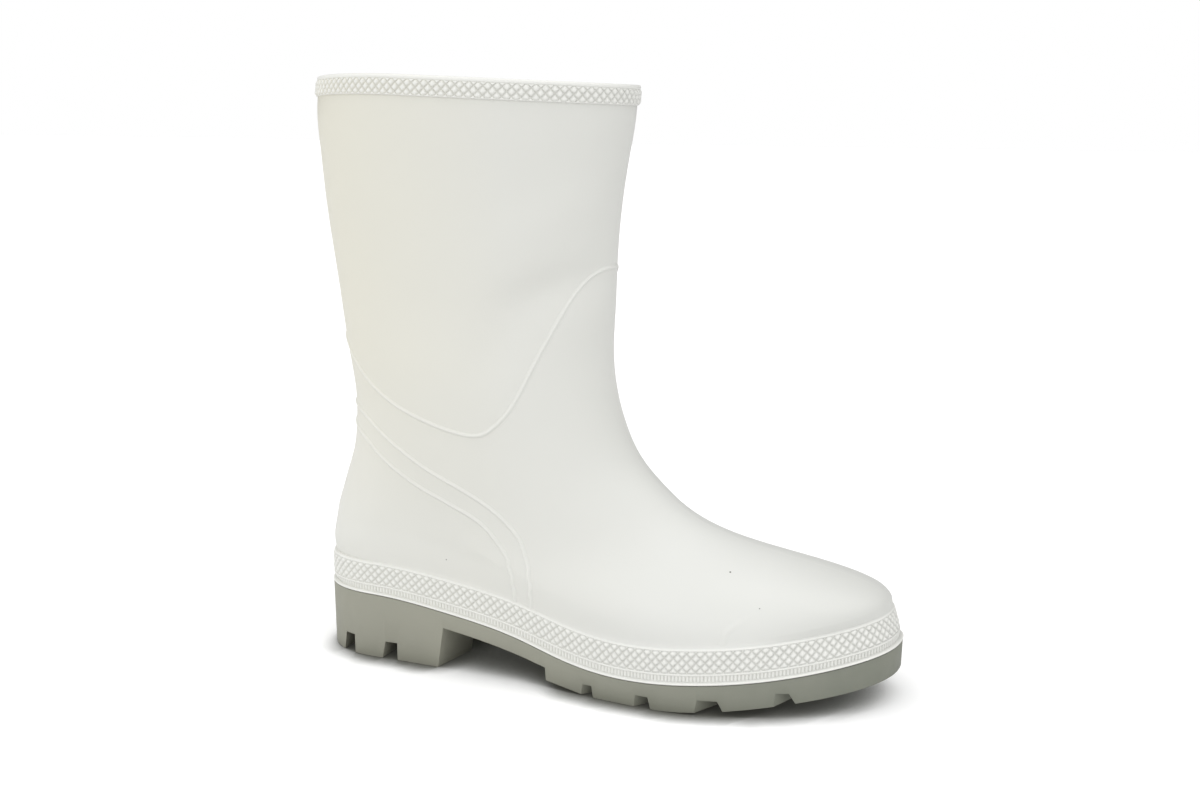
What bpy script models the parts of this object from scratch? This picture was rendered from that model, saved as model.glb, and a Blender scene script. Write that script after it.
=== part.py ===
"""Pull-on work boot for the right foot: a white moulded upper, a grey moulded outsole and an insole.

Sizes are in millimetres and become metres when a mesh is made. While a shape is worked out, X runs from
the back of the heel to the toe, -Y is the outer (lateral) side and Z is up from the floor.
"""

import math
from collections import namedtuple

import bmesh
import bpy
import numpy as np

MM = 0.001

# Driving dimensions
SOLE_LENGTH = 286.0
BOOT_RISE = 258.0  # from the sole's ledge to the collar
WALL = 2.4
GAP = 0.3
BAND_HEIGHT = 15.5  # foxing band, at its mean
COLLAR_PROUD = 1.3
PLATE = 7.8  # sole thickness in the waist
INSOLE_THICKNESS = 3.6
INSOLE_EDGE = 0.8  # rounding of the insole's top edge
INSOLE_EASE = 0.2  # room round the insole, beyond the gap

# Points round a ring of the upper and of the outsole, points that find the widest place of the sole, and the
# step for slopes
ROUND = 56
OUTSOLE_ROUND = 112
EDGE_POINTS = 720
SMALL = 0.001

# The sole's plan, the ledge that the upper stands on, the height of the foxing band and the lift of the
# vamp's rings, by the share of the length from the heel
SOLE_COLUMNS = ("station", "centre", "half", "ledge", "band", "lift")
SOLE_ROWS = (
    (0.00, 0.0, 34.5, 31.7, 15.1, -1.9),
    (0.14, 0.0, 34.5, 31.7, 15.1, -1.9),
    (0.27, -2.0, 34.6, 27.7, 15.6, -0.4),
    (0.40, -3.6, 35.8, 21.0, 15.9, -0.6),
    (0.48, -2.8, 40.3, 15.2, 16.1, -0.3),
    (0.56, -1.2, 45.8, 12.0, 16.0, 0.1),
    (0.70, 0.3, 50.7, 13.4, 16.0, -0.4),
    (0.82, 3.2, 50.6, 17.0, 15.7, 0.1),
    (0.92, 5.0, 50.1, 22.1, 15.2, 0.7),
    (1.00, 5.7, 49.8, 26.9, 14.6, 0.7),
)

# Rounding of the plan's two ends: share of the length, and power of the curve
HEEL_ROUND = 0.125
HEEL_POWER = 2.1
TOE_ROUND = 0.38
TOE_POWER = 2.25

# The last: one level ring for each row, from the ledge to the collar. A ring turns from the sole's plan
# into an oval as the foot turns into the shaft.
SHELL_COLUMNS = ("rise", "back", "front", "half", "oval", "inset", "ridge", "toe_round", "toe_power", "corner")
SHELL_ROWS = (
    (0.0, 3.2, 282.8, 47.0, 0.00, 3.2, 0.0, 0.38, 2.25, 0.0),
    (15.5, 2.0, 281.0, 47.0, 0.00, 3.2, 0.0, 0.38, 2.25, 0.0),
    (23.0, 0.8, 274.8, 47.0, 0.02, 2.6, 0.5, 0.40, 2.20, 2.3),
    (31.0, 1.7, 250.8, 47.0, 0.06, 2.4, 1.0, 0.46, 2.10, 3.2),
    (36.0, 2.6, 228.8, 47.0, 0.11, 2.6, 1.6, 0.50, 2.05, 1.6),
    (41.0, 3.4, 210.0, 47.0, 0.17, 2.8, 2.2, 0.55, 2.00, 0.4),
    (50.0, 5.8, 188.4, 46.5, 0.28, 3.2, 3.0, 0.60, 2.00, 0.0),
    (62.0, 9.2, 173.4, 46.0, 0.43, 3.6, 3.2, 0.60, 2.00, 0.0),
    (76.0, 13.2, 161.2, 46.0, 0.59, 4.0, 3.0, 0.60, 2.00, 0.0),
    (92.0, 15.2, 153.2, 45.5, 0.75, 4.0, 2.4, 0.60, 2.00, 0.0),
    (110.0, 15.2, 148.0, 45.0, 0.90, 4.0, 1.6, 0.60, 2.00, 0.0),
    (130.0, 12.0, 145.8, 44.5, 1.00, 4.0, 0.8, 0.60, 2.00, 0.0),
    (152.0, 8.8, 147.0, 44.5, 1.00, 4.0, 0.0, 0.60, 2.00, 0.0),
    (176.0, 5.6, 147.9, 46.0, 1.00, 4.0, 0.0, 0.60, 2.00, 0.0),
    (202.0, 2.3, 150.0, 48.0, 1.00, 4.0, 0.0, 0.60, 2.00, 0.0),
    (226.0, 0.4, 153.5, 50.3, 1.00, 4.0, 0.0, 0.60, 2.00, 0.0),
    (243.0, -0.4, 156.3, 51.8, 1.00, 4.0, 0.0, 0.60, 2.00, 0.0),
    (258.0, 1.6, 157.5, 52.6, 1.00, 4.0, 0.0, 0.60, 2.00, 0.0),
)

# The outer corner of the toe box: its angle from the back of the heel, and how far it reaches to each side
CORNER_ANGLE = 150.0
CORNER_REACH = 30.0

# Heights of the rings: they follow the ledge at the sole and are level in the shaft
FOLLOW_FROM = 16.0
FOLLOW_TO = 120.0
SHAFT_LEVEL = 20.0
COLLAR_DROP = 6.1  # the collar falls this much from back to front
COLLAR_PIVOT = 0.44
COLLAR_DIP = 3.2  # and dips at the back of the heel
DIP_STATION = 0.4
COLLAR_LEAN = 1.15  # up on the outer side, down on the inner side
DROP_FROM = 150.0

# Rings of the shell between the foxing and the collar band
OUTER_RISES = (19, 23, 27, 30, 33, 36, 39, 43, 48, 54, 61, 69, 78, 88, 99, 111)
OUTER_RISES += (124, 138, 153, 169, 186, 204, 222, 238)
INNER_RISES = (251, 236, 214, 190, 166, 143, 124, 108, 93, 79, 66, 55, 47, 41, 36, 32, 28, 23, 15, 6)

# Steps of the foxing band, from the welt flange up to its top bead
FOXING_COLUMNS = ("rise", "inset")
FOXING_ROWS = (
    (0.0, 0.3),
    (0.3, 0.0),
    (0.7, 0.0),
    (1.0, 0.5),
    (1.2, 2.5),
    (3.5, 2.6),
    (3.8, 1.9),
    (4.5, 1.9),
    (4.85, 2.3),
    (14.45, 2.35),
    (14.7, 2.0),
    (15.3, 2.0),
    (15.6, 2.5),
    (15.9, 2.9),
)
TOE_LEAN = 2.5  # how far the band's top is drawn in at the toe
LEAN_STATION = 0.72
LEAN_RISE = 4.0
HEEL_FILL = 1.3  # how far the band over the flange is brought out at the back of the heel
FILL_STATION = 0.1
FILL_FROM = 1.0
FILL_TO = 2.5

# Steps of the collar band and its lip, measured down from the collar's top edge
COLLAR_COLUMNS = ("below", "proud")
COLLAR_ROWS = (
    (8.6, 0.0),
    (8.2, COLLAR_PROUD),
    (1.2, COLLAR_PROUD),
    (0.4, 1.0),
    (0.0, 0.2),
    (0.0, -1.6),
    (0.4, -2.2),
    (1.2, -WALL),
)

# Raised beads of the upper: where each runs, by the angle from the back of the heel and the rise
BEAD_COLUMNS = ("angle", "rise")
BEAD_RADIUS = 1.2
BEAD_SUNK = 0.35
BEAD_POINTS = 60
SHAFT_BEAD_ROWS = (
    (0, 139.0),
    (18, 136.0),
    (33, 128.5),
    (55, 113.5),
    (76, 103.4),
    (97, 98.0),
    (108, 101.5),
    (121, 115.4),
    (137, 143.0),
    (150, 161.5),
    (165, 171.3),
    (180, 173.0),
)
UPPER_COUNTER_ROWS = (
    (0, 104.5),
    (34, 100.7),
    (52, 92.5),
    (68.5, 82.0),
    (78, 77.0),
    (86, 74.2),
    (93, 70.7),
    (99, 65.3),
    (102.5, 58.8),
    (103, 52.0),
    (99.6, 44.0),
    (95.9, 39.5),
    (90.8, 34.5),
    (85.3, 28.0),
    (83.0, 23.0),
    (81.9, 18.5),
    (81.5, 14.5),
)
LOWER_COUNTER_ROWS = (
    (0, 95.5),
    (35, 88.0),
    (52, 78.5),
    (67, 68.9),
    (75, 65.5),
    (82.5, 63.6),
    (89.5, 61.0),
    (93.5, 56.8),
    (95, 50.5),
    (94, 44.5),
    (90.9, 40.0),
    (87.0, 35.4),
    (82.4, 30.0),
    (80.2, 26.0),
    (78.9, 22.0),
    (78.2, 18.0),
    (77.9, 14.5),
)

# The tread: where the bottom leaves the floor, and by how much
HEEL_BEVEL = 3.0
HEEL_BEVEL_LENGTH = 0.035
HEEL_BEVEL_POWER = 1.5
SPRING = 14.0
SPRING_FROM = 0.66
SPRING_POWER = 1.42
REAR_LIFT = 4.0
REAR_LIFT_FROM = 0.53
REAR_LIFT_TO = 0.441
ARCH_MIDDLE = 0.35
SOLE_EDGE_INSET = 0.25
SOLE_DRAFT = 0.4

# The arch under the waist, between the heel's breast and the forefoot tread, on each side
ARCH_COLUMNS = ("y", "breast_foot", "breast_top", "rear_top", "rear_foot")
ARCH_ROWS = (
    (-70.0, 65.0, 68.5, 124.4, 125.2),
    (70.0, 89.7, 93.2, 149.1, 149.9),
)
ARCH_POINTS = 12
BELOW = 6.0  # how far cutters reach under the floor
ASIDE = 60.0  # how far cutters reach to each side

# Notches across the heel: X of the two walls at the floor and at the roof, and the depth
HEEL_NOTCH_COLUMNS = ("back_foot", "front_foot", "back_roof", "front_roof", "depth")
HEEL_NOTCH_ROWS = (
    (16.4, 24.0, 18.2, 24.0, 9.4),
    (40.2, 48.6, 42.0, 48.6, 8.6),
)
CHANNEL_FROM = 55.0
CHANNEL_TO = 100.0
CHANNEL_WIDTH = 17.0
CHANNEL_DEPTH = 7.0
CHANNEL_ROUND = 7.6
CHANNEL_SEGMENTS = 5

# Slanting notches of the forefoot, on the outer edge: X of the two walls at the floor and at the roof
NOTCH_COLUMNS = ("back_foot", "front_foot", "back_roof", "front_roof", "slant")
NOTCH_ROWS = (
    (147.8, 155.0, 149.0, 154.2, 52.0),
    (175.2, 183.8, 176.0, 182.5, 54.0),
    (204.7, 215.8, 205.8, 213.6, 57.0),
    (238.8, 246.2, 239.4, 243.9, 62.0),
)
NOTCH_DEPTH = 5.5
NOTCH_REACH = 34.0
NOTCH_OUTSIDE = 14.0

# Finishes: colour as red, green and blue, and roughness
WHITE_PVC = (0.70, 0.70, 0.655)
WHITE_ROUGHNESS = 0.42
GREY_PVC = (0.30, 0.303, 0.25)
GREY_ROUGHNESS = 0.55
SOCK_CLOTH = (0.55, 0.55, 0.52)
SOCK_ROUGHNESS = 0.9
SHARP_ANGLE = 35.0


def named_rows(columns, rows):
    """The rows of a table, with their columns by name."""
    row = namedtuple("Row", columns)
    return [row(*values) for values in rows]


def spline(knots, values, at):
    """Natural cubic spline through the knots."""
    knots = np.asarray(knots, float)
    values = np.asarray(values, float)
    at = np.asarray(at, float)
    count = len(knots)
    step = np.diff(knots)
    slope = np.diff(values) / step
    system = np.eye(count)
    right = np.zeros(count)
    for i in range(1, count - 1):
        system[i, i - 1 : i + 2] = step[i - 1], 2 * (step[i - 1] + step[i]), step[i]
        right[i] = 6 * (slope[i] - slope[i - 1])
    bend = np.linalg.solve(system, right)
    i = np.clip(np.searchsorted(knots, at) - 1, 0, count - 2)
    before = (knots[i + 1] - at) / step[i]
    after = (at - knots[i]) / step[i]
    curve = (before**3 - before) * bend[i] + (after**3 - after) * bend[i + 1]
    return before * values[i] + after * values[i + 1] + curve * step[i] ** 2 / 6


def from_table(rows, columns, name, at):
    """A table's column, as a smooth curve over the table's first column."""
    table = np.array(rows, float)
    return spline(table[:, 0], table[:, columns.index(name)], at)


def sole_value(name, station):
    return from_table(SOLE_ROWS, SOLE_COLUMNS, name, station)


def shell_value(name, rise):
    return float(from_table(SHELL_ROWS, SHELL_COLUMNS, name, rise))


def ease(share):
    share = np.clip(share, 0.0, 1.0)
    return share * share * (3 - 2 * share)


def angles(count=ROUND):
    """Angles round a ring: 0 is the back of the heel, pi the toe, and negative ones the outer side."""
    return np.linspace(-math.pi, math.pi, count, endpoint=False)


def station_of(angle):
    return 0.5 * (1 - np.cos(angle))


def end_rounding(station, heel_round=HEEL_ROUND, toe_round=TOE_ROUND, toe_power=TOE_POWER):
    """Share of the half width that is left near the two ends."""
    heel = np.clip((heel_round - station) / heel_round, 0, 1)
    toe = np.clip((station - 1 + toe_round) / toe_round, 0, 1)
    heel_share = (1 - heel**HEEL_POWER) ** (1 / HEEL_POWER)
    toe_share = (1 - toe**toe_power) ** (1 / toe_power)
    return heel_share * toe_share


def sole_edge(angle):
    """The sole's outline in plan."""
    station = station_of(angle)
    side = np.where(np.sin(angle) < 0, -1.0, 1.0)
    across = sole_value("half", station) * end_rounding(station)
    return np.stack([SOLE_LENGTH * station, sole_value("centre", station) + side * across], -1)


def outline(angle, inset):
    """The sole's outline, moved inwards by the inset."""
    along = sole_edge(angle + SMALL) - sole_edge(angle - SMALL)
    outward = np.stack([-along[:, 1], along[:, 0]], -1)
    outward /= np.linalg.norm(outward, axis=1, keepdims=True)
    return sole_edge(angle) - np.reshape(inset, (-1, 1)) * outward


def ring_height(rise, angle):
    station = station_of(angle)
    follow = 1 - ease((rise - FOLLOW_FROM) / (FOLLOW_TO - FOLLOW_FROM))
    ground = sole_value("ledge", station) + min(rise / BAND_HEIGHT, 1.0) * sole_value("lift", station)
    top = ease((rise - DROP_FROM) / (BOOT_RISE - DROP_FROM))
    dip = COLLAR_DIP * np.clip(1 - station / DIP_STATION, 0, 1) ** 2
    drop = COLLAR_DROP * (station - COLLAR_PIVOT) + dip + COLLAR_LEAN * np.sin(angle)
    return rise + follow * ground + (1 - follow) * SHAFT_LEVEL - top * drop


def corner_push(rise, angle):
    """How far the outer corner of the toe box stands out."""
    away = np.clip((np.degrees(angle) + CORNER_ANGLE) / CORNER_REACH, -1, 1)
    return shell_value("corner", rise) * np.cos(away * math.pi / 2) ** 2


def shell_ring(rise, angle):
    """One ring of the upper's outer face, without its bands and beads."""
    station = station_of(angle)
    side = np.where(np.sin(angle) < 0, -1.0, 1.0)
    back = shell_value("back", rise)
    length = shell_value("front", rise) - back
    oval = min(max(shell_value("oval", rise), 0.0), 1.0)
    x = back + length * station
    below = x / SOLE_LENGTH
    heel_round = HEEL_ROUND * SOLE_LENGTH / length
    ends = end_rounding(station, heel_round, shell_value("toe_round", rise), shell_value("toe_power", rise))
    foot_half = ends * (sole_value("half", below) - shell_value("inset", rise))
    foot = sole_value("centre", below) + side * foot_half
    half = shell_value("half", rise)
    shaft = half * np.sin(angle)
    y = (1 - oval) * foot + oval * shaft + shell_value("ridge", rise) * station**2
    outward = np.stack([-np.cos(angle) * half, np.sin(angle) * length / 2])
    push = corner_push(rise, angle) * outward / np.linalg.norm(outward, axis=0)
    return np.stack([x + push[0], y + push[1], ring_height(rise, angle)], -1)


def shell_normal(rise, angle):
    """Outward direction of the upper's face."""
    around = shell_ring(rise, angle + SMALL) - shell_ring(rise, angle - SMALL)
    up = shell_ring(rise + SMALL, angle) - shell_ring(rise - SMALL, angle)
    outward = np.cross(up, around)
    return outward / np.linalg.norm(outward, axis=1, keepdims=True)


def level_normal(rise, angle):
    outward = shell_normal(rise, angle)
    outward[:, 2] = 0.0
    return outward / np.linalg.norm(outward, axis=1, keepdims=True)


def tread_height(station):
    """The sole's bottom: heel bevel, lift behind the forefoot, and toe spring."""
    bevel = HEEL_BEVEL * np.clip(1 - station / HEEL_BEVEL_LENGTH, 0, 1) ** HEEL_BEVEL_POWER
    lift_share = np.clip((REAR_LIFT_FROM - station) / (REAR_LIFT_FROM - REAR_LIFT_TO), 0, 1)
    lift = REAR_LIFT * np.where(station > ARCH_MIDDLE, lift_share, 0)
    spring_share = np.clip((station - SPRING_FROM) / (1 - SPRING_FROM), 0, 1)
    return bevel + lift + SPRING * spring_share**SPRING_POWER


def new_object(name, mesh, collection):
    obj = bpy.data.objects.new(name, mesh)
    collection.objects.link(obj)
    return obj


def mesh_of(name, points, faces):
    mesh = bpy.data.meshes.new(name)
    mesh.from_pydata([tuple(point) for point in (points + PLACE) * MM], [], faces)
    mesh.validate()
    return mesh


def band_faces(rings, count, closed):
    """Quads between each ring and the next, and from the last to the first where closed."""
    faces = []
    for i in range(rings if closed else rings - 1):
        low = i * count
        high = (i + 1) % rings * count
        for j in range(count):
            k = (j + 1) % count
            faces.append((low + j, low + k, high + k, high + j))
    return faces


def ladder_faces(ring, count):
    """Closes a ring with rungs from its outer side to its inner side, so the lid bends along the boot."""
    first = ring * count
    half = count // 2
    faces = []
    for i in range(half):
        a = first + i
        b = first + i + 1
        c = first + (count - i - 1) % count
        d = first + (count - i) % count
        corners = []
        for corner in (a, b, c, d):
            if corner not in corners:
                corners.append(corner)
        faces.append(tuple(corners))
    return faces


def solid_from_rings(name, rings):
    """A solid between a bottom ring and a top ring, both closed by lids that bend along the boot."""
    count = len(rings[0])
    last = len(rings) - 1
    bottom = [face[::-1] for face in ladder_faces(0, count)]
    faces = band_faces(len(rings), count, False) + bottom + ladder_faces(last, count)
    mesh = mesh_of(name, np.concatenate(rings), faces)
    face_outwards(mesh)
    return mesh


def face_outwards(mesh):
    shape = bmesh.new()
    shape.from_mesh(mesh)
    bmesh.ops.recalc_face_normals(shape, faces=shape.faces)
    shape.to_mesh(mesh)
    shape.free()


def foxing_rings(angle):
    """The foxing band, upright at the sides, drawn in at the toe and brought out at the heel."""
    station = station_of(angle)
    at_toe = TOE_LEAN * ease((station - LEAN_STATION) / (1 - LEAN_STATION))
    at_heel = HEEL_FILL * (1 - ease(station / FILL_STATION))
    rings = []
    for step in named_rows(FOXING_COLUMNS, FOXING_ROWS):
        lean = at_toe * ease((step.rise - LEAN_RISE) / (BAND_HEIGHT - LEAN_RISE))
        lean = lean - at_heel * ease((step.rise - FILL_FROM) / (FILL_TO - FILL_FROM))
        height = sole_value("ledge", station) + step.rise / BAND_HEIGHT * sole_value("band", station)
        rings.append(np.column_stack([outline(angle, step.inset + lean), height]))
    return rings


def collar_rings(angle):
    rings = []
    for step in named_rows(COLLAR_COLUMNS, COLLAR_ROWS):
        rise = BOOT_RISE - step.below
        rings.append(shell_ring(rise, angle) + step.proud * level_normal(rise, angle))
    return rings


def inner_rings(angle):
    rings = [shell_ring(rise, angle) - WALL * shell_normal(rise, angle) for rise in INNER_RISES]
    foot = shell_ring(0.0, angle) - WALL * level_normal(0.0, angle)
    foot[:, 2] = ring_height(0.0, angle)
    return rings + [foot]


def upper_mesh():
    """The hollow upper: up the outer face, over the collar's lip and down the inner face."""
    angle = angles()
    shell = [shell_ring(rise, angle) for rise in OUTER_RISES]
    rings = foxing_rings(angle) + shell + collar_rings(angle) + inner_rings(angle)
    mesh = mesh_of("upper", np.concatenate(rings), band_faces(len(rings), ROUND, True))
    face_outwards(mesh)
    return mesh


def bead_path(rows, closed):
    """Points of a bead on the upper, sunk a little into its face, from the outer side round the back."""
    route = named_rows(BEAD_COLUMNS, rows)
    step = np.arange(len(route), dtype=float)
    along = np.linspace(0, step[-1], BEAD_POINTS // 2 + 1)
    angle = np.radians(spline(step, [spot.angle for spot in route], along))
    rise = spline(step, [spot.rise for spot in route], along)
    signs = [(-1, slice(None, 0, -1)), (1, slice(None, -1) if closed else slice(None))]
    points = []
    for sign, order in signs:
        for turn, level in zip(sign * angle[order], rise[order]):
            spot = np.array([turn])
            points.append((shell_ring(level, spot) - BEAD_SUNK * shell_normal(level, spot))[0])
    return np.array(points)


def bead_object(name, rows, closed, collection):
    """A round bead along its path, made a mesh so that it can be joined to the upper."""
    points = (bead_path(rows, closed) + PLACE) * MM
    curve = bpy.data.curves.new(name + "_curve", "CURVE")
    curve.dimensions = "3D"
    curve.bevel_depth = BEAD_RADIUS * MM
    curve.bevel_resolution = 1
    curve.use_fill_caps = not closed
    line = curve.splines.new("POLY")
    line.points.add(len(points) - 1)
    for spot, point in zip(line.points, points):
        spot.co = (*point, 1.0)
    line.use_cyclic_u = closed
    guide = new_object(name + "_guide", curve, collection)
    graph = bpy.context.evaluated_depsgraph_get()
    mesh = bpy.data.meshes.new_from_object(guide.evaluated_get(graph))
    bpy.data.objects.remove(guide)
    shape = bmesh.new()
    shape.from_mesh(mesh)
    bmesh.ops.remove_doubles(shape, verts=shape.verts, dist=SMALL * MM)
    bmesh.ops.recalc_face_normals(shape, faces=shape.faces)
    shape.to_mesh(mesh)
    shape.free()
    return helper(new_object(name, mesh, collection))


def helper(obj):
    obj.hide_render = True
    obj.display_type = "WIRE"
    return obj


def outsole_blank():
    """The whole sole before the arch and the notches are cut."""
    angle = angles(OUTSOLE_ROUND)
    station = station_of(angle)
    top_plan = outline(angle, SOLE_EDGE_INSET)
    bottom_plan = outline(angle, SOLE_EDGE_INSET + SOLE_DRAFT)
    top = np.column_stack([top_plan, sole_value("ledge", station) - GAP])
    bottom = np.column_stack([bottom_plan, tread_height(station)])
    return solid_from_rings("outsole", [bottom, top])


def insole_ring(rise, inset, angle):
    """A ring inside the upper's wall, at a height over the ledge."""
    ring = shell_ring(rise, angle) - (WALL + GAP + inset) * level_normal(rise, angle)
    ring[:, 2] = sole_value("ledge", station_of(angle)) + rise
    return ring


def insole_mesh():
    angle = angles()
    low = insole_ring(0.0, INSOLE_EASE, angle)
    high = insole_ring(INSOLE_THICKNESS - INSOLE_EDGE, INSOLE_EASE, angle)
    top = insole_ring(INSOLE_THICKNESS, INSOLE_EASE + INSOLE_EDGE, angle)
    return solid_from_rings("insole", [low, high, top])


def prism(name, near, far, collection):
    """A cutter between two sections with the same number of corners."""
    count = len(near)
    faces = band_faces(2, count, False)
    faces += [tuple(range(count))[::-1], tuple(range(count, 2 * count))]
    mesh = mesh_of(name, np.concatenate([near, far]), faces)
    face_outwards(mesh)
    return helper(new_object(name, mesh, collection))


def arch_section(side):
    """The arch at one side: up the breast, along the plate, down behind the tread, and under the floor."""
    along = np.linspace(side.breast_top, side.rear_top, ARCH_POINTS)
    roof = sole_value("ledge", along / SOLE_LENGTH) - PLATE
    lean = (side.breast_top - side.breast_foot) / roof[0]
    x = np.concatenate([[side.breast_foot - lean * BELOW], along, [side.rear_foot]])
    z = np.concatenate([[-BELOW], roof, [-BELOW]])
    return np.column_stack([x, np.full(len(x), side.y), z])


def arch_cutter(collection):
    near, far = (arch_section(side) for side in named_rows(ARCH_COLUMNS, ARCH_ROWS))
    return prism("arch", near, far, collection)


def notch_corners(notch, floor, depth):
    """X and Z of a notch's four corners, its walls carried on under the floor."""
    back_lean = (notch.back_roof - notch.back_foot) / depth * BELOW
    front_lean = (notch.front_roof - notch.front_foot) / depth * BELOW
    back = notch.back_foot - back_lean
    front = notch.front_foot - front_lean
    x = np.array([back, front, notch.front_roof, notch.back_roof])
    z = floor + np.array([-BELOW, -BELOW, depth, depth])
    return x, z


def heel_notch_cutters(collection):
    cutters = []
    for i, notch in enumerate(named_rows(HEEL_NOTCH_COLUMNS, HEEL_NOTCH_ROWS)):
        x, z = notch_corners(notch, 0.0, notch.depth)
        near, far = (np.column_stack([x, np.full(len(x), y), z]) for y in (-ASIDE, ASIDE))
        cutters.append(prism(f"heel_notch_{i}", near, far, collection))
    return cutters


def heel_channel(collection):
    """A round-ended channel in the middle of the heel, open at the breast."""
    shape = bmesh.new()
    bmesh.ops.create_cube(shape, size=1.0)
    length = CHANNEL_TO - CHANNEL_FROM
    height = CHANNEL_DEPTH + BELOW
    bmesh.ops.scale(shape, vec=np.array([length, CHANNEL_WIDTH, height]) * MM, verts=shape.verts)
    middle = np.array([(CHANNEL_FROM + CHANNEL_TO) / 2, 0.0, (CHANNEL_DEPTH - BELOW) / 2])
    bmesh.ops.translate(shape, vec=(middle + PLACE) * MM, verts=shape.verts)
    rises = {edge: abs(edge.verts[0].co.z - edge.verts[1].co.z) for edge in shape.edges}
    upright = [edge for edge in shape.edges if rises[edge] > height * MM / 2]
    bmesh.ops.bevel(
        shape,
        geom=upright,
        offset=CHANNEL_ROUND * MM,
        segments=CHANNEL_SEGMENTS,
        profile=0.5,
        affect="EDGES",
    )
    mesh = bpy.data.meshes.new("heel_channel")
    shape.to_mesh(mesh)
    shape.free()
    return helper(new_object("heel_channel", mesh, collection))


def forefoot_notch(name, notch, side, collection):
    """A notch that slants inwards and forwards from the sole's edge, following the toe spring."""
    station = np.array((notch.back_foot + notch.front_foot) / 2 / SOLE_LENGTH)
    across = sole_value("half", station) * end_rounding(station)
    y = sole_value("centre", station) + side * across
    x, z = notch_corners(notch, tread_height(station), NOTCH_DEPTH)
    mouth = np.column_stack([x, np.full(len(x), y), z])
    inward = np.array([1 / math.tan(math.radians(notch.slant)), -side, 0.0])
    near = mouth - NOTCH_OUTSIDE * inward
    far = mouth + NOTCH_REACH * inward
    return prism(name, near, far, collection)


def forefoot_notch_cutters(collection):
    cutters = []
    for i, notch in enumerate(named_rows(NOTCH_COLUMNS, NOTCH_ROWS)):
        for side, word in ((-1, "outer"), (1, "inner")):
            cutters.append(forefoot_notch(f"notch_{word}_{i}", notch, side, collection))
    return cutters


def add_boolean(obj, other, operation):
    modifier = obj.modifiers.new(other.name, "BOOLEAN")
    modifier.operation = operation
    modifier.solver = "EXACT"
    modifier.object = other


def material(name, colour, roughness):
    made = bpy.data.materials.new(name)
    made.use_nodes = True
    shader = made.node_tree.nodes["Principled BSDF"]
    shader.inputs["Base Color"].default_value = (*colour, 1.0)
    shader.inputs["Roughness"].default_value = roughness
    shader.inputs["Metallic"].default_value = 0.0
    return made


def finish(obj, name, colour, roughness):
    obj.data.materials.append(material(name, colour, roughness))
    obj.data.shade_smooth()
    obj.data.set_sharp_from_angle(angle=math.radians(SHARP_ANGLE))


def clear_scene():
    for obj in list(bpy.data.objects):
        bpy.data.objects.remove(obj)


def new_collection(name):
    collection = bpy.data.collections.new(name)
    bpy.context.scene.collection.children.link(collection)
    return collection


def place():
    """Moves the middle of the boot's box onto the origin, in plan."""
    collar = [ring[:, :2] for ring in collar_rings(angles())]
    plan = np.concatenate([sole_edge(angles(EDGE_POINTS)), *collar])
    middle_x, middle_y = (plan.min(0) + plan.max(0)) / 2
    return np.array([-middle_x, -middle_y, 0.0])


PLACE = place()


def main():
    clear_scene()
    boot = new_collection("pull_on_work_boot")
    cutters = new_collection("cutters")

    upper = new_object("upper", upper_mesh(), boot)
    add_boolean(upper, bead_object("shaft_bead", SHAFT_BEAD_ROWS, True, cutters), "UNION")
    add_boolean(upper, bead_object("upper_counter_bead", UPPER_COUNTER_ROWS, False, cutters), "UNION")
    add_boolean(upper, bead_object("lower_counter_bead", LOWER_COUNTER_ROWS, False, cutters), "UNION")
    finish(upper, "white_pvc", WHITE_PVC, WHITE_ROUGHNESS)

    outsole = new_object("outsole", outsole_blank(), boot)
    add_boolean(outsole, arch_cutter(cutters), "DIFFERENCE")
    add_boolean(outsole, heel_channel(cutters), "DIFFERENCE")
    for cutter in heel_notch_cutters(cutters) + forefoot_notch_cutters(cutters):
        add_boolean(outsole, cutter, "DIFFERENCE")
    finish(outsole, "grey_pvc", GREY_PVC, GREY_ROUGHNESS)

    insole = new_object("insole", insole_mesh(), boot)
    finish(insole, "sock_cloth", SOCK_CLOTH, SOCK_ROUGHNESS)


main()
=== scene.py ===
"""Looks of the pull-on work boot: a moulded white upper with its knurls and beads, a grey sole and a sock.

Shapes are worked out in millimetres: X runs from the back of the heel to the toe, -Y is the outer side and
Z is up from the floor. They become metres, in the frame's place, when a mesh is made.
"""

import math

import bmesh
import bpy
import numpy as np
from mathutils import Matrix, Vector


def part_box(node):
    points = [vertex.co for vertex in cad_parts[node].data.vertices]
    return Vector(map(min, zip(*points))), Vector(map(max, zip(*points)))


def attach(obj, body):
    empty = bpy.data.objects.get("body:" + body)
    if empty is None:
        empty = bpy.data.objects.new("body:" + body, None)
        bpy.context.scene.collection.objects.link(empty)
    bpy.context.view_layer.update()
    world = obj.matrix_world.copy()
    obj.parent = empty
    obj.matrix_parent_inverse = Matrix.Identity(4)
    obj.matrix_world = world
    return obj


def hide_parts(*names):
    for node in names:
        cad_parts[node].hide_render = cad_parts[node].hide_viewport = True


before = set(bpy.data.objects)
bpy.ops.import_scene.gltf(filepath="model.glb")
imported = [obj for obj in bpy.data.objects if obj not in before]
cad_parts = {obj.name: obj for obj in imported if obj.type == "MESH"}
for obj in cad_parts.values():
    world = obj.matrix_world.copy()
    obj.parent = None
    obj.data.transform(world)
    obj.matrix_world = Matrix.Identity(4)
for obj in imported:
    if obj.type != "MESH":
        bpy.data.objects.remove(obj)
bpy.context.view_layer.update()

MM = 0.001

# Driving dimensions in millimetres, as in the solids
SOLE_LENGTH = 286.0
SOLE_EDGE_INSET = 0.25
BOOT_RISE = 258.0  # from the sole's ledge to the collar
BAND_HEIGHT = 15.5  # foxing band, at its mean
WALL = 2.4
SMALL = 0.001  # step for slopes

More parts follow.
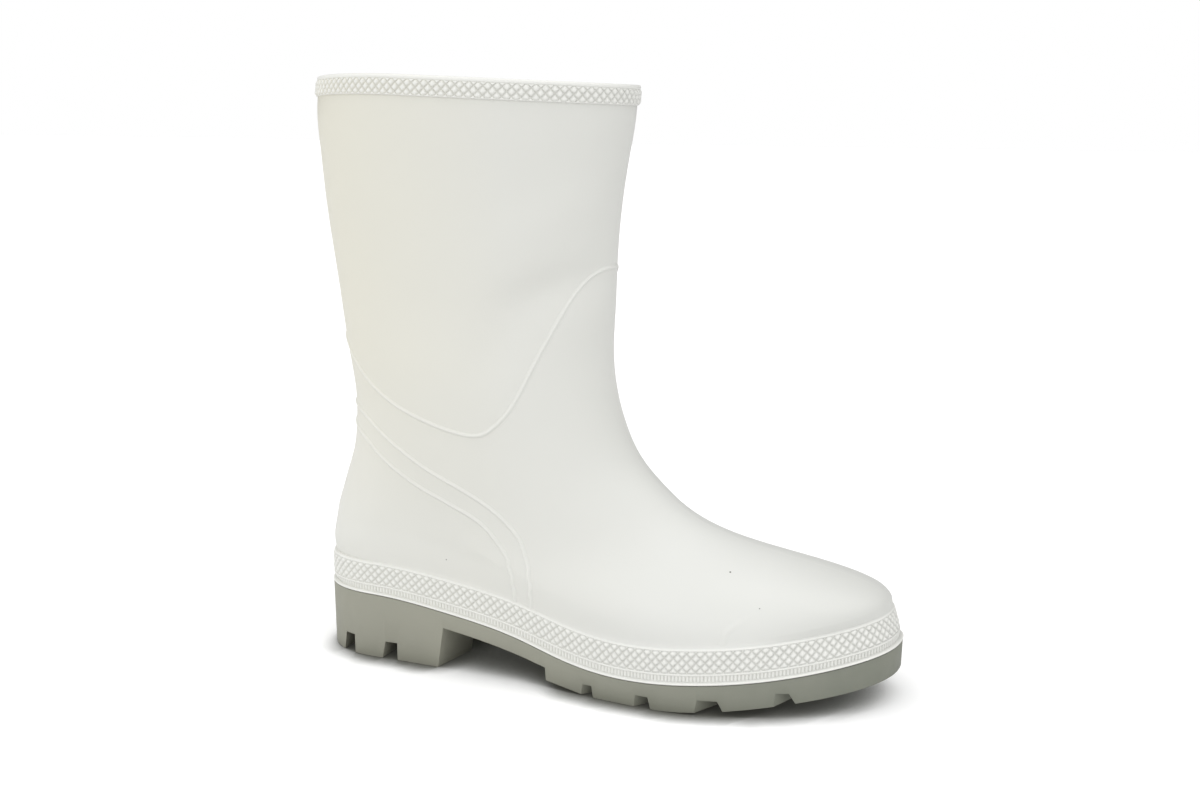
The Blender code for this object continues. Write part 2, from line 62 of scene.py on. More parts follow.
# The boot's heel lies here in the frame
HEEL = np.array([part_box("outsole")[1].x / MM + SOLE_EDGE_INSET - SOLE_LENGTH, 0.0, 0.0])

# The sole's plan, the ledge that the upper stands on, the height of the foxing band and the lift of the
# vamp's rings, by the share of the length from the heel
SOLE_COLUMNS = ("station", "centre", "half", "ledge", "band", "lift")
SOLE_ROWS = (
    (0.00, 0.0, 34.5, 31.7, 15.1, -1.9),
    (0.14, 0.0, 34.5, 31.7, 15.1, -1.9),
    (0.27, -2.0, 34.6, 27.7, 15.6, -0.4),
    (0.40, -3.6, 35.8, 21.0, 15.9, -0.6),
    (0.48, -2.8, 40.3, 15.2, 16.1, -0.3),
    (0.56, -1.2, 45.8, 12.0, 16.0, 0.1),
    (0.70, 0.3, 50.7, 13.4, 16.0, -0.4),
    (0.82, 3.2, 50.6, 17.0, 15.7, 0.1),
    (0.92, 5.0, 50.1, 22.1, 15.2, 0.7),
    (1.00, 5.7, 49.8, 26.9, 14.6, 0.7),
)
HEEL_ROUND = 0.125
HEEL_POWER = 2.1
TOE_ROUND = 0.38
TOE_POWER = 2.25

# The last: one ring for each row, from the ledge to the collar
SHELL_COLUMNS = (
    "rise", "back", "front", "half", "oval", "inset", "ridge", "toe_round", "toe_power", "corner"
)
SHELL_ROWS = (
    (0.0, 3.2, 282.8, 47.0, 0.00, 3.2, 0.0, 0.38, 2.25, 0.0),
    (15.5, 2.0, 281.0, 47.0, 0.00, 3.2, 0.0, 0.38, 2.25, 0.0),
    (23.0, 0.8, 274.8, 47.0, 0.02, 2.6, 0.5, 0.40, 2.20, 2.3),
    (31.0, 1.7, 250.8, 47.0, 0.06, 2.4, 1.0, 0.46, 2.10, 3.2),
    (36.0, 2.6, 228.8, 47.0, 0.11, 2.6, 1.6, 0.50, 2.05, 1.6),
    (41.0, 3.4, 210.0, 47.0, 0.17, 2.8, 2.2, 0.55, 2.00, 0.4),
    (50.0, 5.8, 188.4, 46.5, 0.28, 3.2, 3.0, 0.60, 2.00, 0.0),
    (62.0, 9.2, 173.4, 46.0, 0.43, 3.6, 3.2, 0.60, 2.00, 0.0),
    (76.0, 13.2, 161.2, 46.0, 0.59, 4.0, 3.0, 0.60, 2.00, 0.0),
    (92.0, 15.2, 153.2, 45.5, 0.75, 4.0, 2.4, 0.60, 2.00, 0.0),
    (110.0, 15.2, 148.0, 45.0, 0.90, 4.0, 1.6, 0.60, 2.00, 0.0),
    (130.0, 12.0, 145.8, 44.5, 1.00, 4.0, 0.8, 0.60, 2.00, 0.0),
    (152.0, 8.8, 147.0, 44.5, 1.00, 4.0, 0.0, 0.60, 2.00, 0.0),
    (176.0, 5.6, 147.9, 46.0, 1.00, 4.0, 0.0, 0.60, 2.00, 0.0),
    (202.0, 2.3, 150.0, 48.0, 1.00, 4.0, 0.0, 0.60, 2.00, 0.0),
    (226.0, 0.4, 153.5, 50.3, 1.00, 4.0, 0.0, 0.60, 2.00, 0.0),
    (243.0, -0.4, 156.3, 51.8, 1.00, 4.0, 0.0, 0.60, 2.00, 0.0),
    (258.0, 1.6, 157.5, 52.6, 1.00, 4.0, 0.0, 0.60, 2.00, 0.0),
)
CORNER_ANGLE = 150.0  # the outer corner of the toe box, and how far it reaches to each side
CORNER_REACH = 30.0

# Heights of the rings: they follow the ledge up to the first rise and are level from the second on
FOLLOW_FROM = 16.0
FOLLOW_TO = 120.0
SHAFT_LEVEL = 20.0  # the height that the level rings are counted from
COLLAR_DROP = 6.1  # the collar falls this much from back to front
COLLAR_PIVOT = 0.44
COLLAR_DIP = 3.2  # and dips at the back of the heel
DIP_STATION = 0.4
COLLAR_LEAN = 1.15  # up on the outer side, down on the inner side
DROP_FROM = 150.0  # the shaft is level up to this rise

# Soft folds on the outer side of the shaft: place, slant from the level, reach along and across them,
# and depth
FOLD_COLUMNS = ("x", "z", "slant", "along", "across", "deep")
FOLD_ROWS = (
    (129.0, 184.0, 22.0, 24.0, 9.5, 2.8),
    (112.0, 165.0, 50.0, 24.0, 11.0, 1.8),
    (131.0, 217.0, 28.0, 26.0, 10.0, -0.9),
)
FOLD_SIDE = 18.0  # folds fade out within this distance of the middle

# Rows of the upper's mesh: how many points go round it, and the rises of its rings from band to band
ROUND = 288
VAMP_RISES = np.linspace(17.8, 50.0, 36)
ANKLE_RISES = np.linspace(51.8, 130.0, 40)
SHAFT_RISES = np.linspace(133.0, 248.6, 38)
INNER_RISES = np.linspace(255.5, 6.0, 60)

# The foxing band, from the welt flange up: rise over the ledge, inset from the sole's edge, and how much
# painted highlight it carries, or painted shade where that is below nought
FOXING_COLUMNS = ("rise", "inset", "painted_light")
FOXING_ROWS = (
    (0.00, 0.35, 0.0),
    (0.10, 0.15, 0.6),
    (0.28, 0.03, 0.9),
    (0.45, 0.00, 0.9),
    (0.62, 0.04, 0.9),
    (0.80, 0.20, 0.9),
    (0.92, 0.55, 0.6),
    (1.00, 1.10, 0.3),
    (1.08, 1.70, 0.0),
    (1.20, 2.20, -0.4),
    (1.50, 2.35, -0.4),
    (3.40, 2.35, -0.3),
    (3.58, 2.20, 0.0),
    (3.72, 1.95, 0.4),
    (3.90, 1.75, 0.7),
    (4.20, 1.65, 0.8),
    (4.50, 1.75, 0.7),
    (4.70, 2.05, 0.3),
    (4.85, 2.50, -0.3),
    (14.40, 2.60, -0.3),
    (14.58, 2.35, 0.3),
    (14.78, 2.08, 0.6),
    (15.08, 1.96, 0.7),
    (15.36, 2.06, 0.7),
    (15.60, 2.35, 0.5),
    (15.80, 2.65, 0.2),
    (16.10, 2.85, 0.0),
)
TOE_LEAN = 2.5  # how far the band's top is drawn in at the toe
LEAN_STATION = 0.72
LEAN_RISE = 4.0
HEEL_FILL = 1.3  # how far the band over the flange is brought out at the back of the heel
FILL_STATION = 0.1
FILL_FROM = 1.0
FILL_TO = 2.5

# The collar band and its lip: distance below the top edge, how far it stands proud of the shaft, and
# how much painted highlight it carries, or painted shade where that is below nought
COLLAR_COLUMNS = ("below", "proud", "painted_light")
COLLAR_ROWS = (
    (9.00, 0.00, 0.0),
    (8.90, 0.10, 0.0),
    (8.80, 0.35, 0.2),
    (8.70, 0.62, 0.5),
    (8.50, 0.80, 0.7),
    (8.25, 0.80, 0.7),
    (8.05, 0.60, 0.0),
    (1.75, 0.60, -0.3),
    (1.55, 0.80, 0.3),
    (1.25, 1.00, 0.8),
    (0.80, 1.10, 0.9),
    (0.30, 1.02, 0.9),
    (-0.10, 0.72, 0.9),
    (-0.35, 0.35, 0.9),
    (-0.40, 0.00, 0.9),
    (-0.40, -1.20, 0.6),
    (-0.35, -1.60, 0.3),
    (-0.15, -2.00, 0.0),
    (0.40, -2.25, 0.0),
    (1.20, -2.40, 0.0),
)

# Knurls: staggered diamonds, wide along the band and high across it, cut level at the band's two edges
DIAMOND_WIDE = 4.13
DIAMOND_HIGH = 4.2
DIAMOND_FOOT_SHADE = -0.7  # painted shade at its foot
DIAMOND_COLUMNS = ("share", "slope", "painted_light")  # each step's share of the inner radius, its slope and its painted highlight, or painted shade below nought
DIAMOND_STEPS = (
    (0.08, 0.1, -0.5),
    (0.24, 1.0, 0.2),
    (0.24, 0.8, 0.6),
    (0.22, 0.6, 0.9),
    (0.14, 0.25, 1.0),
)
DIAMOND_TIP = 0.02
BACKING = 0.8  # how far knurls and ribs are sunk in the wall
KNURL_SHARP = 75.0
FOXING_KNURL_FROM = 1.2
FOXING_KNURL_ROWS = 4
FOXING_KNURL_CUTS = (4.5, 15.0)
FOXING_KNURL_INSET = 2.5
COLLAR_KNURL_FROM = 0.9
COLLAR_KNURL_ROWS = 2
COLLAR_KNURL_CUTS = (1.4, 8.6)
COLLAR_KNURL_PROUD = 0.65

# Fine upright ribs under the knurl of the foxing
RIB_PITCH = 1.66
RIB_HEIGHT = 0.5
RIB_LOW = 1.2
RIB_HIGH = 3.75
RIB_INSET = 2.33
RIB_WAVE = (0.0, 0.45, 0.9, 1.0, 0.9, 0.45)  # heights across one rib
RIB_PAINTED_LIGHT = (-0.5, 0.8)  # painted shade at its foot to painted highlight at its crest

# Raised beads of the upper: where each runs, by the angle from the back of the heel and the rise
BEAD_COLUMNS = ("angle", "rise")
BEAD_POINTS = 240
BEAD_HALF = 1.35
BEAD_HEIGHT = 0.68
BEAD_SINK = 0.06
BEAD_ROOT = 0.8
BEAD_FULLNESS = 0.75
BEAD_ACROSS = 13
# Painted highlight on the beads' crests, full on the raised beads and faint on the toe-cap and parting
# lines
BEAD_PAINTED_HIGHLIGHT = 0.4
FAINT_PAINTED_HIGHLIGHT = 0.1
FADE_SHARE = 0.5  # the share of its length in which a fading bead sinks
SHAFT_BEAD_ROWS = (
    (0, 139.0),
    (18, 136.0),
    (33, 128.5),
    (55, 113.5),
    (76, 103.4),
    (97, 98.0),
    (108, 101.5),
    (121, 115.4),
    (137, 143.0),
    (150, 161.5),
    (165, 171.3),
    (180, 173.0),
)
UPPER_COUNTER_ROWS = (
    (0, 104.5),
    (34, 100.7),
    (52, 92.5),
    (68.5, 82.0),
    (78, 77.0),
    (86, 74.2),
    (93, 70.7),
    (99, 65.3),
    (102.5, 58.8),
    (103, 52.0),
    (99.6, 44.0),
    (95.9, 39.5),
    (90.8, 34.5),
    (85.3, 28.0),
    (83.0, 23.0),
    (81.9, 18.5),
    (81.5, 14.5),
)
LOWER_COUNTER_ROWS = (
    (0, 95.5),
    (35, 88.0),
    (52, 78.5),
    (67, 68.9),
    (75, 65.5),
    (82.5, 63.6),
    (89.5, 61.0),
    (93.5, 56.8),
    (95, 50.5),
    (94, 44.5),
    (90.9, 40.0),
    (87.0, 35.4),
    (82.4, 30.0),
    (80.2, 26.0),
    (78.9, 22.0),
    (78.2, 18.0),
    (77.9, 14.5),
)
TOE_CAP_ROWS = (
    (121.8, 14.5),
    (122.4, 17.2),
    (124.0, 21.2),
    (127.2, 23.9),
    (132.3, 26.2),
    (140.0, 28.4),
)
TOE_CAP_HALF = 1.9
TOE_CAP_HEIGHT = 0.34
PARTING_ROWS = (
    (180, 17.0),
    (180, 100.0),
    (180, 249.0),
)
PARTING_HALF = 0.45
PARTING_HEIGHT = 0.12

# The sole's and the sock's edges
SOLE_BEVEL = 0.45
SOCK_BEVEL = 0.5
BEVEL_SEGMENTS = 2
SHARP_ANGLE = 35.0
FLAT_ANGLE = 0.2
MERGE = 0.00001  # metres

# Colours, and the places in metres between which one turns into the next
BLACK = (0.0, 0.0, 0.0)
WHITE = (1.0, 1.0, 1.0)
# Painted warm light on the back of the shaft, towards its top
WHITE_WARM_LIGHT = (0.71, 0.69, 0.585)
WHITE_COOL = (0.69, 0.695, 0.665)
WHITE_SHAFT = (0.695, 0.695, 0.65)
WARM_LIGHT_BACK = (-0.03, -0.145)  # along the boot, from cool to painted warm light
WARM_LIGHT_HIGH = (0.06, 0.15)  # and up the shaft
FOOT_FROM = (-0.05, 0.04)  # from the shaft's white to the foot's
WHITE_CLOUD = (0.6, 0.6, 0.58)
WHITE_TOE_SHADE = (0.62, 0.625, 0.595)
TOE_SHADE_FROM = (0.085, 0.15)  # along the boot, from the foot's white to the painted shade of the toe
WHITE_PAINTED_HIGHLIGHT = (0.795, 0.795, 0.76)  # painted highlight on raised edges and tips
WHITE_PAINTED_SHADE = (0.64, 0.64, 0.58)  # painted shade in grooves
GREY_LIGHT = (0.305, 0.303, 0.248)
GREY_TOE_SHADE = (0.2, 0.211, 0.172)
GREY_SHADE_FROM = (-0.04, 0.12)  # along the boot, from light to the painted shade of the toe
GREY_CLOUD = (0.28, 0.28, 0.235)
KNIT_DARK = (0.42, 0.42, 0.39)
KNIT_LIGHT = (0.66, 0.66, 0.63)
SOCK_DARK = (0.50, 0.50, 0.47)
SOCK_LIGHT = (0.58, 0.58, 0.55)
SPECK = (0.06, 0.06, 0.05)

# Clouds of a second colour: waves to the metre, detail, and the most that it takes
CLOUD_COLUMNS = ("waves", "detail", "most")
WHITE_CLOUDS = (30.0, 3.0, 0.05)
GREY_CLOUDS = (45.0, 4.0, 0.3)
SOCK_CLOUDS = (60.0, 4.0, 1.0)
NOISE_RANGE = (0.3, 0.7)  # most of the noise lies in here

# Dark specks in the moulding
SPECK_COLUMNS = ("angle", "rise", "radius")
SPECK_ROWS = (
    (-150.2, 36.5, 0.55),
    (-138.4, 28.1, 0.32),
    (-64.6, 27.4, 0.35),
)

# Surfaces: least and most roughness and its waves to the metre, and the grain of each
WHITE_ROUGH = (0.32, 0.42)
WHITE_ROUGH_WAVES = 160.0
GREY_ROUGH = (0.46, 0.58)
GREY_ROUGH_WAVES = 200.0
CLOTH_ROUGH = 0.9
GRAIN_COLUMNS = ("waves", "detail", "distance", "strength")
WHITE_GRAIN = (
    (900.0, 3.0, 0.0004, 0.06),
    (55.0, 2.0, 0.002, 0.05),
)
GREY_GRAIN = ((700.0, 3.0, 0.0005, 0.1),)
SOCK_GRAIN = ((1200.0, 2.0, 0.0006, 0.6),)
KNIT_COURSES = 4  # to one row of the inner face
HALF_STITCH = 0.5
KNIT_FULL = 0.35  # the height from which a stitch is light
KNIT_BUMP = 0.0005
KNIT_STRENGTH = 0.6

# Camera: place from the heel, turn and tilt in degrees, lens in millimetres
CAMERA_PLACE = (405.49, -689.57, 276.71)
CAMERA_TURN = 20.98
CAMERA_TILT = 11.3
CAMERA_LENS = 48.0
CAMERA_SENSOR = 36.0

# Studio light: a broad sky that is brighter on one side, with a dark board on the other, and two weak
# lights; azimuths are counted from the camera's side, towards the right of the picture
SKY_FILL = 1.2
SKY_SLOPE = 0.22
SKY_AZIMUTH = -60.0
BOARD_AZIMUTH = 135.0
BOARD_FILL = 0.25
BOARD_EDGE = (0.45, 0.9)  # cosines from the board's middle: where it begins, and where it is full
GLOSS_FILL = 0.25  # what reflections see of the sky
LIGHT_COLUMNS = ("name", "azimuth", "elevation", "width", "strength")
LIGHT_ROWS = (
    ("top_light", 90.0, 66.0, 60.0, 0.4),
    ("front_light", 30.0, 15.0, 90.0, 0.1),
)

# The floor: half its side and how far it lies under the boot, in metres, and its colours where it is seen
# and where it lights the boot
FLOOR_HALF = 6.0
FLOOR_BELOW = 0.0002
FLOOR_ROUGH = 0.9
FLOOR_SEEN = (0.96, 0.96, 0.96)
FLOOR_BOUNCE = (0.7, 0.7, 0.7)
FLOOR_GLOW = 0.11

# Contact shade on the floor: where the light comes from that is cut off, how near a piece has to be to do
# that, and how open the floor is where it is dark and where it is clear
CONTACT_COLUMNS = ("towards", "reach", "dark", "clear")
CONTACT_ROWS = (
    ((-0.3, 0.9, 0.5), 0.017, 0.4, 0.8),
    ((0.25, 0.35, 0.9), 0.06, 0.08, 0.48),
)
CONTACT_SHADE = (0.105, 0.106, 0.09)


def spline(knots, values, at):
    """Natural cubic spline through the knots."""
    knots = np.asarray(knots, float)
    values = np.asarray(values, float)
    at = np.asarray(at, float)
    count = len(knots)
    step = np.diff(knots)
    slope = np.diff(values) / step
    system = np.eye(count)
    right = np.zeros(count)
    for i in range(1, count - 1):
        system[i, i - 1 : i + 2] = step[i - 1], 2 * (step[i - 1] + step[i]), step[i]
        right[i] = 6 * (slope[i] - slope[i - 1])
    bend = np.linalg.solve(system, right)
    i = np.clip(np.searchsorted(knots, at) - 1, 0, count - 2)
    before = (knots[i + 1] - at) / step[i]
    after = (at - knots[i]) / step[i]
    curve = (before**3 - before) * bend[i] + (after**3 - after) * bend[i + 1]
    return before * values[i] + after * values[i + 1] + curve * step[i] ** 2 / 6


def column(columns, rows, name):
    return np.array(rows, float)[:, columns.index(name)]


def named_rows(columns, rows):
    """Rows of a table, each by the names of its columns."""
    return [dict(zip(columns, row)) for row in rows]


def sole_value(name, station):
    knots = column(SOLE_COLUMNS, SOLE_ROWS, "station")
    return spline(knots, column(SOLE_COLUMNS, SOLE_ROWS, name), station)


def shell_value(name, rise):
    knots = column(SHELL_COLUMNS, SHELL_ROWS, "rise")
    return spline(knots, column(SHELL_COLUMNS, SHELL_ROWS, name), rise)


def ease(share):
    share = np.clip(share, 0.0, 1.0)
    return share * share * (3 - 2 * share)


def station_of(angle):
    """Share of a ring's length: 0 at the back of the heel, 1 at the toe."""
    return 0.5 * (1 - np.cos(angle))


def end_rounding(station, heel_round=HEEL_ROUND, toe_round=TOE_ROUND, toe_power=TOE_POWER):
    """Share of the half width that is left near the two ends."""
    heel = np.clip((heel_round - station) / heel_round, 0, 1)
    toe = np.clip((station - 1 + toe_round) / toe_round, 0, 1)
    heel_share = (1 - heel**HEEL_POWER) ** (1 / HEEL_POWER)
    toe_share = (1 - toe**toe_power) ** (1 / toe_power)
    return heel_share * toe_share


def unit(vectors):
    return vectors / np.linalg.norm(vectors, axis=-1, keepdims=True)


def side_of(angle):
    return np.where(np.sin(angle) < 0, -1.0, 1.0)


def sole_edge(angle):
    """The sole's outline in plan."""
    station = station_of(angle)
    across = sole_value("half", station) * end_rounding(station)
    return np.stack([SOLE_LENGTH * station, sole_value("centre", station) + side_of(angle) * across], -1)


def ring_height(rise, angle):
    """Rings follow the ledge at the sole, are level in the shaft and lean a little at the collar."""
    station = station_of(angle)
    follow = 1 - ease((rise - FOLLOW_FROM) / (FOLLOW_TO - FOLLOW_FROM))
    lift = np.minimum(rise / BAND_HEIGHT, 1.0) * sole_value("lift", station)
    ground = sole_value("ledge", station) + lift
    top = ease((rise - DROP_FROM) / (BOOT_RISE - DROP_FROM))
    dip = COLLAR_DIP * np.clip(1 - station / DIP_STATION, 0, 1) ** 2
    drop = COLLAR_DROP * (station - COLLAR_PIVOT) + dip + COLLAR_LEAN * np.sin(angle)
    return rise + follow * ground + (1 - follow) * SHAFT_LEVEL - top * drop


def foxing_point(rise, inset, angle):
    """A point of the foxing band, set in from the sole's edge."""
    rise, inset, angle = np.broadcast_arrays(rise, inset, angle)
    station = station_of(angle)
    at_toe = ease((station - LEAN_STATION) / (1 - LEAN_STATION))
    inset = inset + TOE_LEAN * at_toe * ease((rise - LEAN_RISE) / (BAND_HEIGHT - LEAN_RISE))
    at_heel = 1 - ease(station / FILL_STATION)
    inset = inset - HEEL_FILL * at_heel * ease((rise - FILL_FROM) / (FILL_TO - FILL_FROM))
    along = sole_edge(angle + SMALL) - sole_edge(angle - SMALL)
    outward = np.stack([-along[..., 1], along[..., 0]], -1)
    outward /= np.linalg.norm(outward, axis=-1, keepdims=True)
    plan = sole_edge(angle) - inset[..., None] * outward
    height = sole_value("ledge", station) + rise / BAND_HEIGHT * sole_value("band", station)
    return np.concatenate([plan, height[..., None]], -1)


def fold_depth(x, y, z):
    """How far the soft folds press the shaft in."""
    depth = np.zeros(np.shape(x))
    for fold in named_rows(FOLD_COLUMNS, FOLD_ROWS):
        turn = math.radians(fold["slant"])
        right = x - fold["x"]
        up = z - fold["z"]
        along = right * math.cos(turn) + up * math.sin(turn)
        across = up * math.cos(turn) - right * math.sin(turn)
        away = (along / fold["along"]) ** 2 + (across / fold["across"]) ** 2
        depth = depth + fold["deep"] * np.exp(-away)
    return depth * ease(-y / FOLD_SIDE)


def corner_push(rise, angle):
    """How far the outer corner of the toe box stands out."""
    away = np.clip((np.degrees(angle) + CORNER_ANGLE) / CORNER_REACH, -1, 1)
    return shell_value("corner", rise) * np.cos(away * math.pi / 2) ** 2


def shell_point(rise, angle):
    """A point of the upper's outer face, without its bands and beads."""
    rise, angle = np.broadcast_arrays(np.asarray(rise, float), np.asarray(angle, float))
    station = station_of(angle)
    back = shell_value("back", rise)
    length = shell_value("front", rise) - back
    oval = np.clip(shell_value("oval", rise), 0.0, 1.0)
    x = back + length * station
    below = x / SOLE_LENGTH
    heel_round = HEEL_ROUND * SOLE_LENGTH / length
    toe_round = shell_value("toe_round", rise)
    ends = end_rounding(station, heel_round, toe_round, shell_value("toe_power", rise))
    foot_half = ends * (sole_value("half", below) - shell_value("inset", rise))
    foot = sole_value("centre", below) + side_of(angle) * foot_half
    shaft = shell_value("half", rise) * np.sin(angle)
    y = (1 - oval) * foot + oval * shaft + shell_value("ridge", rise) * station**2
    z = ring_height(rise, angle)
    outward = unit(np.stack([-np.cos(angle) * shell_value("half", rise), np.sin(angle) * length / 2], -1))
    push = corner_push(rise, angle) - fold_depth(x, y, z)
    return np.stack([x + push * outward[..., 0], y + push * outward[..., 1], z], -1)


def shell_normal(rise, angle):
    """Outward direction of the upper's face."""
    around = shell_point(rise, angle + SMALL) - shell_point(rise, angle - SMALL)
    up = shell_point(rise + SMALL, angle) - shell_point(rise - SMALL, angle)
    return unit(np.cross(up, around))


def level_normal(rise, angle):
    return unit(shell_normal(rise, angle) * np.array([1.0, 1.0, 0.0]))


def collar_point(below, proud, angle):
    """A point of the collar band, standing proud of the shaft."""
    below, proud, angle = np.broadcast_arrays(below, proud, angle)
    rise = BOOT_RISE - below
    return shell_point(rise, angle) + proud[..., None] * level_normal(rise, angle)


def metres(points):
    return (points + HEEL) * MM


# Meshes

def laid_grid(points, painted_light):
    """A grid of faces laid over rows of points, which may carry a painted highlight or painted shade."""
    rows, columns = points.shape[:2]
    shape = bmesh.new()
    painted_layer = shape.verts.layers.float.new("painted_light")
    bmesh.ops.create_grid(shape, x_segments=columns - 1, y_segments=rows - 1, size=1.0)
    values = np.broadcast_to(painted_light, (rows, columns)).ravel()
    for vert, point, value in zip(shape.verts, metres(points).reshape(-1, 3), values):
        vert.co = point
        vert[painted_layer] = value
    return shape


def merge_seams(shape):
    bmesh.ops.remove_doubles(shape, verts=shape.verts[:], dist=MERGE)
    bmesh.ops.recalc_face_normals(shape, faces=shape.faces[:])


def piece(name, shape, materials, sharp=SHARP_ANGLE):
    """Makes a finished bmesh an object that rides on the boot."""
    mesh = bpy.data.meshes.new(name)
    shape.to_mesh(mesh)
    shape.free()
    for material in materials:
        mesh.materials.append(material)
    mesh.shade_smooth()
    mesh.set_sharp_from_angle(angle=math.radians(sharp))
    obj = bpy.data.objects.new(name, mesh)
    bpy.context.scene.collection.objects.link(obj)
    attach(obj, "root")
    return obj


def round_angles(count=ROUND):
    """Angles round a ring, the first one repeated at the end."""
    return np.linspace(-math.pi, math.pi, count + 1)


def upper_points():
    """Rows of the upper: up its outer face, over the lip, down its inner face and back to the first."""
    angle = round_angles()
    rise = column(FOXING_COLUMNS, FOXING_ROWS, "rise")[:, None]
    inset = column(FOXING_COLUMNS, FOXING_ROWS, "inset")[:, None]
    foxing = foxing_point(rise, inset, angle)
    outer = shell_point(np.concatenate([VAMP_RISES, ANKLE_RISES, SHAFT_RISES])[:, None], angle)
    below = column(COLLAR_COLUMNS, COLLAR_ROWS, "below")[:, None]
    proud = column(COLLAR_COLUMNS, COLLAR_ROWS, "proud")[:, None]
    collar = collar_point(below, proud, angle)
    depth = INNER_RISES[:, None]
    inner = shell_point(depth, angle) - WALL * shell_normal(depth, angle)
    ground = np.zeros((1, 1))
    foot = shell_point(ground, angle) - WALL * level_normal(ground, angle)
    outer_rows = len(foxing) + len(outer) + len(collar)
    return np.concatenate([foxing, outer, collar, inner, foot, foxing[:1]]), outer_rows


def upper_painted_light(rows):
    """How much painted highlight, or painted shade, each row of the upper carries."""
    foxing = column(FOXING_COLUMNS, FOXING_ROWS, "painted_light")
    collar = column(COLLAR_COLUMNS, COLLAR_ROWS, "painted_light")
    plain = np.zeros(len(VAMP_RISES) + len(ANKLE_RISES) + len(SHAFT_RISES))
    values = np.concatenate([foxing, plain, collar])
    return np.pad(values, (0, rows - len(values)))


def map_stitches(shape):
    """Maps the upper's grid in stitches of its lining: columns round the leg, courses down it."""
    stitches = shape.loops.layers.uv.new("stitches")
    shape.verts.index_update()
    for face in shape.faces:
        for loop in face.loops:
            row, place = divmod(loop.vert.index, ROUND + 1)
            loop[stitches].uv = (place, row * KNIT_COURSES)


def make_upper(white, knit):
    points, outer_rows = upper_points()
    shape = laid_grid(points, upper_painted_light(len(points))[:, None])
    map_stitches(shape)
    for i, face in enumerate(shape.faces):
        face.material_index = int(i // ROUND >= outer_rows)
    merge_seams(shape)
    upper = piece("boot_upper", shape, [white, knit])
    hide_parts("upper")


def even_angles(ring, shares):
    """Angles that divide a ring of points, one for each of its even angles, by length."""
    lengths = np.linalg.norm(np.diff(ring, axis=0), axis=1)
    run = np.concatenate([[0.0], np.cumsum(lengths)])
    return np.interp(shares * run[-1], run, round_angles(len(ring) - 1))


def ring_length(ring):
    return np.linalg.norm(np.diff(ring, axis=0), axis=1).sum()


def flat_diamonds(cells, rows):
    """A flat sheet of diamonds, one unit long and one high: squares split from their middles."""
    shape = bmesh.new()
    shape.verts.layers.float.new("painted_light")
    bmesh.ops.create_grid(shape, x_segments=cells, y_segments=rows, size=0.5)
    bmesh.ops.translate(shape, verts=shape.verts[:], vec=(0.5, 0.5, 0.0))
    squares = shape.edges[:]
    bmesh.ops.poke(shape, faces=shape.faces[:])
    inside = [edge for edge in squares if not edge.is_boundary]
    bmesh.ops.dissolve_edges(shape, edges=inside)
    return shape


def trim(shape, height, keep):
    """Cuts a flat sheet level at a height, and keeps what lies on the side that keep points to."""
    geometry = shape.verts[:] + shape.edges[:] + shape.faces[:]
    bmesh.ops.bisect_plane(
        shape, geom=geometry, dist=MERGE, plane_co=(0, height, 0), plane_no=(0, keep, 0), clear_inner=True
    )


def lay_diamonds(shape, surface):
    """Moves a flat sheet of diamonds onto a surface, which takes the share round and the share up."""
    flat = np.array([vert.co[:2] for vert in shape.verts])
    for vert, point in zip(shape.verts, metres(surface(flat[:, 0], flat[:, 1]))):
        vert.co = point
    seam = [edge for edge in shape.edges if edge.is_boundary]
    bmesh.ops.remove_doubles(shape, verts=shape.verts[:], dist=MERGE)
    joined = [edge for edge in seam if edge.is_valid and not edge.is_boundary]
    bmesh.ops.dissolve_edges(shape, edges=joined)
    bmesh.ops.recalc_face_normals(shape, faces=shape.faces[:])


def raise_diamonds(shape):
    """Raises each diamond of a laid sheet in steps; its foot gets painted shade and its tip a painted
    highlight.
    """
    tops = shape.faces[:]
    painted_layer = shape.verts.layers.float["painted_light"]
    for vert in shape.verts:
        vert[painted_layer] = DIAMOND_FOOT_SHADE
    radii = [2 * face.calc_area() / face.calc_perimeter() for face in tops]
    steps = named_rows(DIAMOND_COLUMNS, DIAMOND_STEPS)
    for step in steps:
        for face, radius in zip(tops, radii):
            wide = step["share"] * radius
            bmesh.ops.inset_individual(shape, faces=[face], thickness=wide, depth=step["slope"] * wide)
            for vert in face.verts:
                vert[painted_layer] = step["painted_light"]
    tips = bmesh.ops.poke(shape, faces=tops, offset=DIAMOND_TIP * MM)["verts"]
    for vert in tips:
        vert[painted_layer] = steps[-1]["painted_light"]


def close_behind(shape):
    """Closes an open band: its two rims are carried into the wall and joined there."""
    shape.normal_update()
    rims = [edge for edge in shape.edges if edge.is_boundary]
    carried = bmesh.ops.extrude_edge_only(shape, edges=rims)["geom"]
    sunk = {item for item in carried if isinstance(item, bmesh.types.BMVert)}
    for vert in sunk:
        rim = next(edge.other_vert(vert) for edge in vert.link_edges if edge.other_vert(vert) not in sunk)
        vert.co = rim.co - rim.normal * BACKING * MM
    bmesh.ops.bridge_loops(shape, edges=[edge for edge in shape.edges if edge.is_boundary])
    bmesh.ops.recalc_face_normals(shape, faces=shape.faces[:])


def knurl(name, cells, rows, cuts, surface, material):
    """A band of diamonds between two cuts, with a backing that is sunk in the wall."""
    shape = flat_diamonds(cells, rows)
    for height, keep in zip(cuts, (1, -1)):
        trim(shape, height, keep)
    lay_diamonds(shape, surface)
    raise_diamonds(shape)
    close_behind(shape)
    piece(name, shape, [material], KNURL_SHARP)


